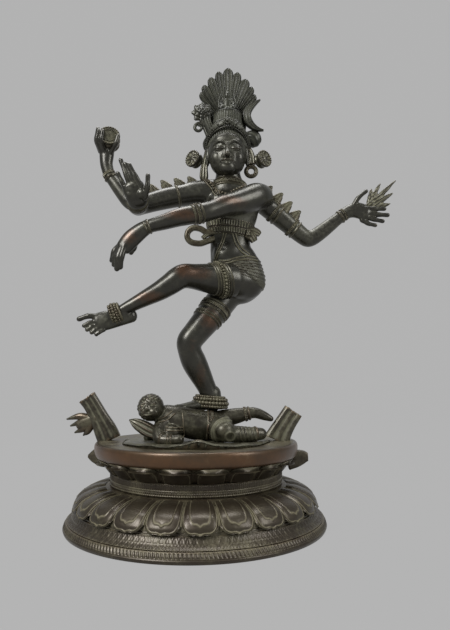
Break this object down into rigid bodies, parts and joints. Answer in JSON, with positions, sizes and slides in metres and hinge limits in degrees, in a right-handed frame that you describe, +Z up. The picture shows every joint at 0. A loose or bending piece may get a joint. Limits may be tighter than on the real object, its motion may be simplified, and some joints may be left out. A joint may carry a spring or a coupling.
{
  "type": "brass dancing deity statue",
  "caption": "Four-armed dancing figure in patinated brass, one leg raised, on a prone dwarf over a round double-lotus pedestal with broken halo stubs.",
  "frame": {"origin": "centre of the ring that the pedestal stands on, at the underside", "axes": "+Z up, -Y is the front of the figure, +X is to the right of somebody who faces it, on the side of the hand with the flame"},
  "size_m": [0.3445, 0.248, 0.4748],
  "materials": {
    "pedestal_brass": "dark brown patina, rubbed warmer on the rim band, grey-green dust in the recesses",
    "halo_brass": "dull olive-grey patina with broken ends",
    "dwarf_brass": "dark olive-brown patina, dusty in the folds",
    "figure_brass": "dark brown satin patina, rubbed golden brown on the knees and fore-arm",
    "ornament_brass": "chased and beaded, dark with pale dusty grooves",
    "headdress_brass": "near-black olive patina with pale dusty grooves",
    "bare_brass": "filed, dull, unpatinated"
  },
  "bodies": {
    "root": {"pedestal_foot": "pedestal_brass", "pedestal_waist": "pedestal_brass", "pedestal_platform": "pedestal_brass", "lower_lotus_petals": "pedestal_brass", "upper_lotus_petals": "pedestal_brass", "ground_mound": "dwarf_brass", "side_lugs": "pedestal_brass", "halo_stub_left": "halo_brass", "halo_stub_right": "halo_brass", "halo_flame_tuft": "halo_brass", "figure_tenon": "bare_brass", "tenon_cross_pin": "bare_brass", "dwarf_torso": "dwarf_brass", "dwarf_head": "dwarf_brass", "dwarf_dagger": "dwarf_brass", "dwarf_near_arm": "dwarf_brass", "dwarf_near_thigh": "dwarf_brass", "dwarf_near_calf": "dwarf_brass", "dwarf_far_leg": "dwarf_brass", "dwarf_belt": "dwarf_brass", "standing_thigh": "figure_brass", "standing_shin": "figure_brass", "standing_foot": "figure_brass", "standing_thigh_band": "ornament_brass", "standing_anklet": "ornament_brass", "raised_thigh": "figure_brass", "raised_shin": "figure_brass", "raised_foot": "figure_brass", "raised_thigh_band": "ornament_brass", "raised_anklet": "ornament_brass", "pelvis_wrap": "ornament_brass", "torso": "figure_brass", "chest_sash": "ornament_brass", "neck": "figure_brass", "necklace": "ornament_brass", "head": "figure_brass", "hair_crown": "headdress_brass", "plume_fan": "headdress_brass", "crown_figurine": "headdress_brass", "hair_flower": "headdress_brass", "serpent_curl": "headdress_brass", "crescent_moon": "headdress_brass", "side_bun": "headdress_brass", "ear_discs": "ornament_brass", "ear_pendants": "ornament_brass", "sweeping_upper_arm": "figure_brass", "sweeping_forearm": "figure_brass", "sweeping_hand": "figure_brass", "blessing_upper_arm": "figure_brass", "blessing_forearm": "figure_brass", "blessing_hand": "figure_brass", "drum_upper_arm": "figure_brass", "drum_forearm": "figure_brass", "drum_hand": "figure_brass", "hand_drum": "ornament_brass", "flame_upper_arm": "figure_brass", "flame_forearm": "figure_brass", "flame_hand": "figure_brass", "hand_flame": "ornament_brass", "arm_bands": "ornament_brass"}
  },
  "joints": []
}
